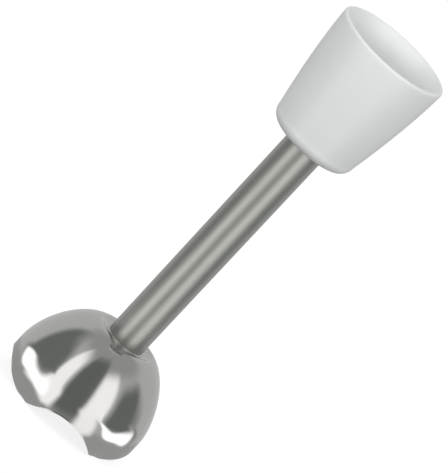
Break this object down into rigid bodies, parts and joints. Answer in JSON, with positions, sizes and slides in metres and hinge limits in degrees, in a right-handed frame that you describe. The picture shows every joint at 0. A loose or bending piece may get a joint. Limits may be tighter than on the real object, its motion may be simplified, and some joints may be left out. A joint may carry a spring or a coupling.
{
  "type": "immersion blender shaft",
  "caption": "Detachable hand blender shaft: steel tube with a drive coupling in a moulded collar and a lobed bell guarding the blade.",
  "frame": {"origin": "centre of the bell's foot circle, on the plane that the feet of the four lobes stand on", "axes": "+Z along the tube's axis, from the bell to the collar's open mouth; the bell's lobes lie on the diagonals of X and Y, its arches on X and Y"},
  "size_m": [0.0658, 0.0658, 0.2095],
  "materials": {
    "polished_steel": "mirror-polished stainless sheet",
    "brushed_steel": "fine satin stainless steel",
    "white_plastic": "satin light grey-white moulding",
    "dark_plastic": "satin dark grey moulding",
    "bronze": "oil-filled sintered bronze",
    "black_rubber": "matt rubber"
  },
  "bodies": {
    "casing": {"bell": "polished_steel", "weld_bead": "polished_steel", "outer_tube": "brushed_steel", "collar": "white_plastic", "collar_o_ring": "black_rubber", "tube_flange": "brushed_steel", "coupling_tower": "white_plastic", "tower_screws": "brushed_steel", "liner_tube": "white_plastic", "upper_bush": "bronze", "bearing_housing": "dark_plastic", "lower_bush": "bronze", "housing_o_ring": "black_rubber", "shaft_seal": "black_rubber", "seal_cap": "polished_steel"},
    "rotor": {"drive_shaft": "brushed_steel", "drive_coupling": "dark_plastic", "coupling_pin": "brushed_steel", "upper_thrust_washer": "white_plastic", "shaft_circlip": "brushed_steel", "lower_thrust_washer": "white_plastic", "blade_hub": "polished_steel", "blade": "polished_steel", "blade_nut": "polished_steel"}
  },
  "joints": [
    {"name": "drive_spin", "type": "hinge", "parent": "casing", "child": "rotor", "pos_m": [0, 0, 0.1], "axis": [0, 0, 1], "continuous": true}
  ]
}
